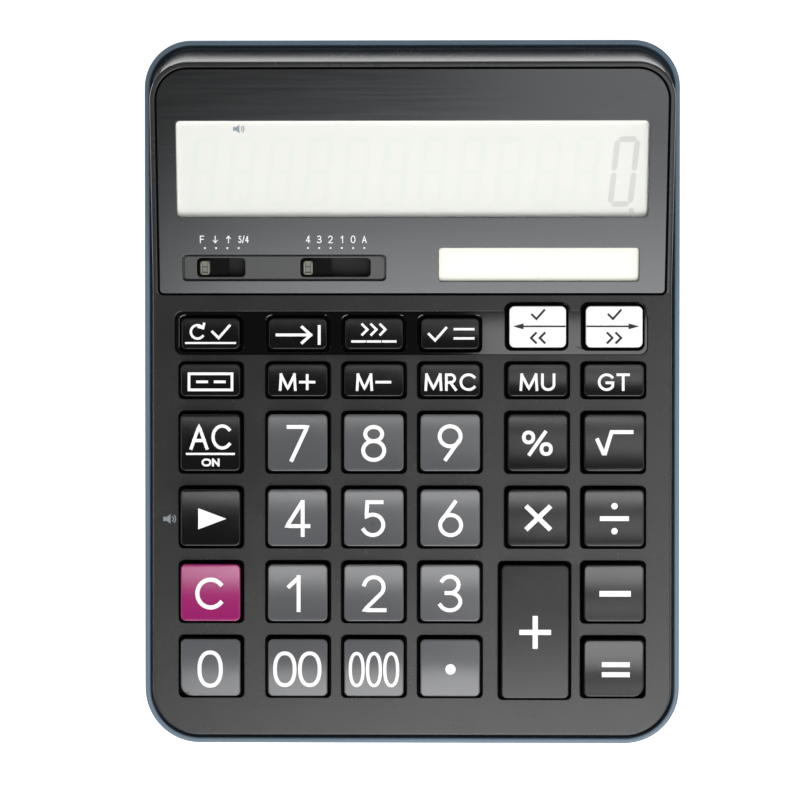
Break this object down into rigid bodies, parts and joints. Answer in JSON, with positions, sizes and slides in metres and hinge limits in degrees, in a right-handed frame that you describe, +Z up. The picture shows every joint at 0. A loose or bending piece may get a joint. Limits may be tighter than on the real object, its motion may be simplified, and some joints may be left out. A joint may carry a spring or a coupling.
{
  "type": "desk calculator",
  "caption": "Desk calculator: sloping key panel with a tilted display, sprung push keys, slide switches, a light cell strip and a screwed battery door under the case.",
  "frame": {"origin": "middle of the footprint, on the surface that the feet stand on", "axes": "+X to the right of the person using it, +Y from the front edge towards the display, +Z up"},
  "size_m": [0.14, 0.1836, 0.0357],
  "materials": {
    "case_blue": "fine satin texture, slate blue",
    "panel_black": "fine satin texture, near black",
    "display_metal": "fine brushed dark grey, satin",
    "clear_window": "clear, polished",
    "lcd_face": "pale grey-green liquid crystal face",
    "holder_white": "plain white moulding",
    "ribbon_amber": "thin amber film",
    "solar_face": "pale cream behind clear film",
    "gloss_black": "high gloss black",
    "switch_grey": "satin mid grey",
    "knob_dark": "satin dark grey",
    "board_green": "green board with solder mask",
    "board_black": "black board of the slide switches",
    "silicone_grey": "soft grey silicone",
    "chip_black": "black moulding with tinned legs",
    "brass_disc": "thin brass disc",
    "bright_steel": "bright plated steel",
    "rubber_black": "black rubber",
    "wire_cover": "thin flexible wire cover",
    "number_keys": "semi-gloss mid grey with white figures",
    "function_keys": "semi-gloss dark grey with white signs",
    "clear_key": "semi-gloss magenta with white letter",
    "white_keys": "gloss white with black signs"
  },
  "bodies": {
    "case": {"lower_case": "case_blue", "upper_case": "panel_black", "display_panel": "display_metal", "display_window": "clear_window", "lcd_glass": "lcd_face", "lcd_holder": "holder_white", "lcd_ribbon": "ribbon_amber", "solar_cell": "solar_face", "key_row_trim": "gloss_black", "switch_plate": "switch_grey", "switch_board": "board_black", "key_membrane": "silicone_grey", "main_board": "board_green", "processor_chip": "chip_black", "buzzer": "brass_disc", "battery_cell": "bright_steel", "battery_contacts": "bright_steel", "battery_door": "case_blue", "battery_door_screw": "bright_steel", "case_screws": "bright_steel", "board_screws": "bright_steel", "rubber_feet": "rubber_black", "lead_wires": "wire_cover"},
    "key_recheck": {"key_recheck": "function_keys"},
    "key_go_to": {"key_go_to": "function_keys"},
    "key_auto_review": {"key_auto_review": "function_keys"},
    "key_correct": {"key_correct": "function_keys"},
    "key_check_back": {"key_check_back": "white_keys"},
    "key_check_forward": {"key_check_forward": "white_keys"},
    "key_display": {"key_display": "function_keys"},
    "key_memory_plus": {"key_memory_plus": "function_keys"},
    "key_memory_minus": {"key_memory_minus": "function_keys"},
    "key_memory_recall": {"key_memory_recall": "function_keys"},
    "key_markup": {"key_markup": "function_keys"},
    "key_grand_total": {"key_grand_total": "function_keys"},
    "key_all_clear": {"key_all_clear": "function_keys"},
    "key_7": {"key_7": "number_keys"},
    "key_8": {"key_8": "number_keys"},
    "key_9": {"key_9": "number_keys"},
    "key_percent": {"key_percent": "function_keys"},
    "key_root": {"key_root": "function_keys"},
    "key_backspace": {"key_backspace": "function_keys"},
    "key_4": {"key_4": "number_keys"},
    "key_5": {"key_5": "number_keys"},
    "key_6": {"key_6": "number_keys"},
    "key_multiply": {"key_multiply": "function_keys"},
    "key_divide": {"key_divide": "function_keys"},
    "key_clear": {"key_clear": "clear_key"},
    "key_1": {"key_1": "number_keys"},
    "key_2": {"key_2": "number_keys"},
    "key_3": {"key_3": "number_keys"},
    "key_plus": {"key_plus": "function_keys"},
    "key_minus": {"key_minus": "function_keys"},
    "key_0": {"key_0": "number_keys"},
    "key_00": {"key_00": "number_keys"},
    "key_000": {"key_000": "number_keys"},
    "key_point": {"key_point": "number_keys"},
    "key_equals": {"key_equals": "function_keys"},
    "rounding_knob": {"rounding_knob": "knob_dark"},
    "decimal_knob": {"decimal_knob": "knob_dark"}
  },
  "joints": [
    {"name": "press_recheck", "type": "slide", "parent": "case", "child": "key_recheck", "axis": [0, 0.0785, -0.9969], "range_m": [0, 0.002], "stiffness_N_per_m": 400, "springref_m": -0.0005},
    {"name": "press_go_to", "type": "slide", "parent": "case", "child": "key_go_to", "axis": [0, 0.0785, -0.9969], "range_m": [0, 0.002], "stiffness_N_per_m": 400, "springref_m": -0.0005},
    {"name": "press_auto_review", "type": "slide", "parent": "case", "child": "key_auto_review", "axis": [0, 0.0785, -0.9969], "range_m": [0, 0.002], "stiffness_N_per_m": 400, "springref_m": -0.0005},
    {"name": "press_correct", "type": "slide", "parent": "case", "child": "key_correct", "axis": [0, 0.0785, -0.9969], "range_m": [0, 0.002], "stiffness_N_per_m": 400, "springref_m": -0.0005},
    {"name": "press_check_back", "type": "slide", "parent": "case", "child": "key_check_back", "axis": [0, 0.0785, -0.9969], "range_m": [0, 0.002], "stiffness_N_per_m": 400, "springref_m": -0.0005},
    {"name": "press_check_forward", "type": "slide", "parent": "case", "child": "key_check_forward", "axis": [0, 0.0785, -0.9969], "range_m": [0, 0.002], "stiffness_N_per_m": 400, "springref_m": -0.0005},
    {"name": "press_display", "type": "slide", "parent": "case", "child": "key_display", "axis": [0, 0.0785, -0.9969], "range_m": [0, 0.002], "stiffness_N_per_m": 400, "springref_m": -0.0005},
    {"name": "press_memory_plus", "type": "slide", "parent": "case", "child": "key_memory_plus", "axis": [0, 0.0785, -0.9969], "range_m": [0, 0.002], "stiffness_N_per_m": 400, "springref_m": -0.0005},
    {"name": "press_memory_minus", "type": "slide", "parent": "case", "child": "key_memory_minus", "axis": [0, 0.0785, -0.9969], "range_m": [0, 0.002], "stiffness_N_per_m": 400, "springref_m": -0.0005},
    {"name": "press_memory_recall", "type": "slide", "parent": "case", "child": "key_memory_recall", "axis": [0, 0.0785, -0.9969], "range_m": [0, 0.002], "stiffness_N_per_m": 400, "springref_m": -0.0005},
    {"name": "press_markup", "type": "slide", "parent": "case", "child": "key_markup", "axis": [0, 0.0785, -0.9969], "range_m": [0, 0.002], "stiffness_N_per_m": 400, "springref_m": -0.0005},
    {"name": "press_grand_total", "type": "slide", "parent": "case", "child": "key_grand_total", "axis": [0, 0.0785, -0.9969], "range_m": [0, 0.002], "stiffness_N_per_m": 400, "springref_m": -0.0005},
    {"name": "press_all_clear", "type": "slide", "parent": "case", "child": "key_all_clear", "axis": [0, 0.0785, -0.9969], "range_m": [0, 0.002], "stiffness_N_per_m": 400, "springref_m": -0.0005},
    {"name": "press_7", "type": "slide", "parent": "case", "child": "key_7", "axis": [0, 0.0785, -0.9969], "range_m": [0, 0.002], "stiffness_N_per_m": 400, "springref_m": -0.0005},
    {"name": "press_8", "type": "slide", "parent": "case", "child": "key_8", "axis": [0, 0.0785, -0.9969], "range_m": [0, 0.002], "stiffness_N_per_m": 400, "springref_m": -0.0005},
    {"name": "press_9", "type": "slide", "parent": "case", "child": "key_9", "axis": [0, 0.0785, -0.9969], "range_m": [0, 0.002], "stiffness_N_per_m": 400, "springref_m": -0.0005},
    {"name": "press_percent", "type": "slide", "parent": "case", "child": "key_percent", "axis": [0, 0.0785, -0.9969], "range_m": [0, 0.002], "stiffness_N_per_m": 400, "springref_m": -0.0005},
    {"name": "press_root", "type": "slide", "parent": "case", "child": "key_root", "axis": [0, 0.0785, -0.9969], "range_m": [0, 0.002], "stiffness_N_per_m": 400, "springref_m": -0.0005},
    {"name": "press_backspace", "type": "slide", "parent": "case", "child": "key_backspace", "axis": [0, 0.0785, -0.9969], "range_m": [0, 0.002], "stiffness_N_per_m": 400, "springref_m": -0.0005},
    {"name": "press_4", "type": "slide", "parent": "case", "child": "key_4", "axis": [0, 0.0785, -0.9969], "range_m": [0, 0.002], "stiffness_N_per_m": 400, "springref_m": -0.0005},
    {"name": "press_5", "type": "slide", "parent": "case", "child": "key_5", "axis": [0, 0.0785, -0.9969], "range_m": [0, 0.002], "stiffness_N_per_m": 400, "springref_m": -0.0005},
    {"name": "press_6", "type": "slide", "parent": "case", "child": "key_6", "axis": [0, 0.0785, -0.9969], "range_m": [0, 0.002], "stiffness_N_per_m": 400, "springref_m": -0.0005},
    {"name": "press_multiply", "type": "slide", "parent": "case", "child": "key_multiply", "axis": [0, 0.0785, -0.9969], "range_m": [0, 0.002], "stiffness_N_per_m": 400, "springref_m": -0.0005},
    {"name": "press_divide", "type": "slide", "parent": "case", "child": "key_divide", "axis": [0, 0.0785, -0.9969], "range_m": [0, 0.002], "stiffness_N_per_m": 400, "springref_m": -0.0005},
    {"name": "press_clear", "type": "slide", "parent": "case", "child": "key_clear", "axis": [0, 0.0785, -0.9969], "range_m": [0, 0.002], "stiffness_N_per_m": 400, "springref_m": -0.0005},
    {"name": "press_1", "type": "slide", "parent": "case", "child": "key_1", "axis": [0, 0.0785, -0.9969], "range_m": [0, 0.002], "stiffness_N_per_m": 400, "springref_m": -0.0005},
    {"name": "press_2", "type": "slide", "parent": "case", "child": "key_2", "axis": [0, 0.0785, -0.9969], "range_m": [0, 0.002], "stiffness_N_per_m": 400, "springref_m": -0.0005},
    {"name": "press_3", "type": "slide", "parent": "case", "child": "key_3", "axis": [0, 0.0785, -0.9969], "range_m": [0, 0.002], "stiffness_N_per_m": 400, "springref_m": -0.0005},
    {"name": "press_plus", "type": "slide", "parent": "case", "child": "key_plus", "axis": [0, 0.0785, -0.9969], "range_m": [0, 0.002], "stiffness_N_per_m": 400, "springref_m": -0.0005},
    {"name": "press_minus", "type": "slide", "parent": "case", "child": "key_minus", "axis": [0, 0.0785, -0.9969], "range_m": [0, 0.002], "stiffness_N_per_m": 400, "springref_m": -0.0005},
    {"name": "press_0", "type": "slide", "parent": "case", "child": "key_0", "axis": [0, 0.0785, -0.9969], "range_m": [0, 0.002], "stiffness_N_per_m": 400, "springref_m": -0.0005},
    {"name": "press_00", "type": "slide", "parent": "case", "child": "key_00", "axis": [0, 0.0785, -0.9969], "range_m": [0, 0.002], "stiffness_N_per_m": 400, "springref_m": -0.0005},
    {"name": "press_000", "type": "slide", "parent": "case", "child": "key_000", "axis": [0, 0.0785, -0.9969], "range_m": [0, 0.002], "stiffness_N_per_m": 400, "springref_m": -0.0005},
    {"name": "press_point", "type": "slide", "parent": "case", "child": "key_point", "axis": [0, 0.0785, -0.9969], "range_m": [0, 0.002], "stiffness_N_per_m": 400, "springref_m": -0.0005},
    {"name": "press_equals", "type": "slide", "parent": "case", "child": "key_equals", "axis": [0, 0.0785, -0.9969], "range_m": [0, 0.002], "stiffness_N_per_m": 400, "springref_m": -0.0005},
    {"name": "rounding_slide", "type": "slide", "parent": "case", "child": "rounding_knob", "axis": [1, 0, 0], "range_m": [0, 0.00879]},
    {"name": "decimal_slide", "type": "slide", "parent": "case", "child": "decimal_knob", "axis": [1, 0, 0], "range_m": [0, 0.01465]}
  ]
}
